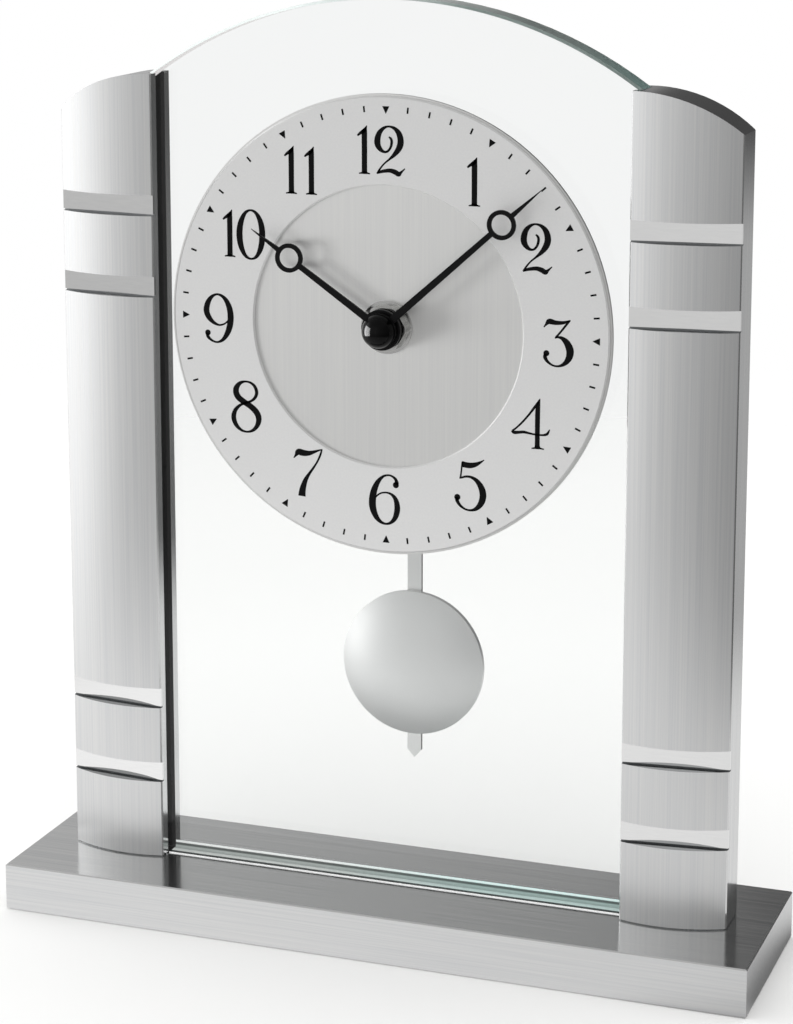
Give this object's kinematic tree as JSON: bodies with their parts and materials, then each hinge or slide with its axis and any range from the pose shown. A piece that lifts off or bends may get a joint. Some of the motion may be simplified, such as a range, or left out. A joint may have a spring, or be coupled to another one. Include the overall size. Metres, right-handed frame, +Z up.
{
  "type": "desk pendulum clock",
  "caption": "Free-standing desk clock with metal pillars, an arched glass pane, a round dial with ring-ended hands and a swinging pendulum behind the glass.",
  "frame": {"origin": "middle of the underside, on the surface it stands on", "axes": "+Z up, -Y toward the viewer of the dial, +X to that viewer's right"},
  "size_m": [0.19, 0.05, 0.23],
  "materials": {
    "base_aluminium": "brushed",
    "core_board": "matte",
    "felt": "matte",
    "zinc_steel": "satin",
    "pillar_aluminium": "brushed",
    "polished_band": "polished",
    "glass": "clear",
    "dial_disc": "brushed",
    "chapter_ring": "satin",
    "nickel": "satin",
    "brass": "turned",
    "rubber": "matte",
    "black_hands": "gloss",
    "black_cap": "gloss",
    "wheel_plastic": "moulded",
    "knob_plastic": "moulded",
    "case_plastic": "moulded",
    "copper_wire": "wound",
    "magnet": "plated",
    "circuit_board": "lacquered",
    "battery": "gloss sleeve",
    "hanger_plastic": "moulded",
    "rod_aluminium": "brushed",
    "bob_aluminium": "spun satin"
  },
  "bodies": {
    "frame": {"base_shell": "base_aluminium", "base_core": "core_board", "base_felt": "felt", "pillar_screws": "zinc_steel", "left_pillar": "pillar_aluminium", "right_pillar": "pillar_aluminium", "glass_pane": "glass", "dial_disc": "dial_disc", "chapter_ring": "chapter_ring", "dial_washer": "nickel", "bushing_nut": "nickel", "center_bushing": "brass", "cushion_washer": "rubber", "movement_case": "case_plastic", "movement_cover": "case_plastic", "motor_stator": "zinc_steel", "motor_coil": "copper_wire", "drive_coil": "copper_wire", "circuit_board": "circuit_board", "quartz_can": "nickel", "battery": "battery", "battery_contact_plus": "nickel", "battery_contact_minus": "nickel", "pivot_pin": "zinc_steel", "left_band_1": "polished_band", "right_band_1": "polished_band", "left_band_2": "polished_band", "right_band_2": "polished_band", "left_band_3": "polished_band", "right_band_3": "polished_band", "left_band_4": "polished_band", "right_band_4": "polished_band"},
    "minute": {"minute_arbor": "zinc_steel", "minute_hand": "black_hands", "hand_cap": "black_cap"},
    "hour": {"hour_wheel": "wheel_plastic", "hour_hand": "black_hands"},
    "motion": {"motion_wheel": "wheel_plastic"},
    "knob": {"setting_knob": "knob_plastic"},
    "rotor": {"motor_rotor": "magnet"},
    "pendulum": {"pendulum_hanger": "hanger_plastic", "pendulum_magnet": "magnet", "pendulum_rod": "rod_aluminium", "pendulum_bob": "bob_aluminium", "bob_plate": "zinc_steel", "bob_clip": "nickel"}
  },
  "joints": [
    {"name": "minute_turn", "type": "hinge", "parent": "frame", "child": "minute", "pos_m": [0, -0.008, 0.152], "axis": [0, 1, 0], "continuous": true},
    {"name": "hour_turn", "type": "hinge", "parent": "frame", "child": "hour", "pos_m": [0, -0.008, 0.152], "axis": [0, 1, 0], "continuous": true},
    {"name": "motion_turn", "type": "hinge", "parent": "frame", "child": "motion", "pos_m": [-0.01, 0.008, 0.152], "axis": [0, 1, 0], "continuous": true},
    {"name": "knob_turn", "type": "hinge", "parent": "frame", "child": "knob", "pos_m": [-0.0205, 0.012, 0.152], "axis": [0, 1, 0], "continuous": true},
    {"name": "rotor_turn", "type": "hinge", "parent": "frame", "child": "rotor", "pos_m": [-0.016, 0.0092, 0.1388], "axis": [0, 1, 0], "continuous": true},
    {"name": "pendulum_swing", "type": "hinge", "parent": "frame", "child": "pendulum", "pos_m": [0, 0.0175, 0.174], "axis": [0, 1, 0], "range_deg": [-8, 8]}
  ],
  "couplings": [
    {"joint": "hour_turn", "follows": "minute_turn", "ratio": 0.083333},
    {"joint": "motion_turn", "follows": "minute_turn", "ratio": -0.33333},
    {"joint": "knob_turn", "follows": "minute_turn", "ratio": 0.83333}
  ]
}
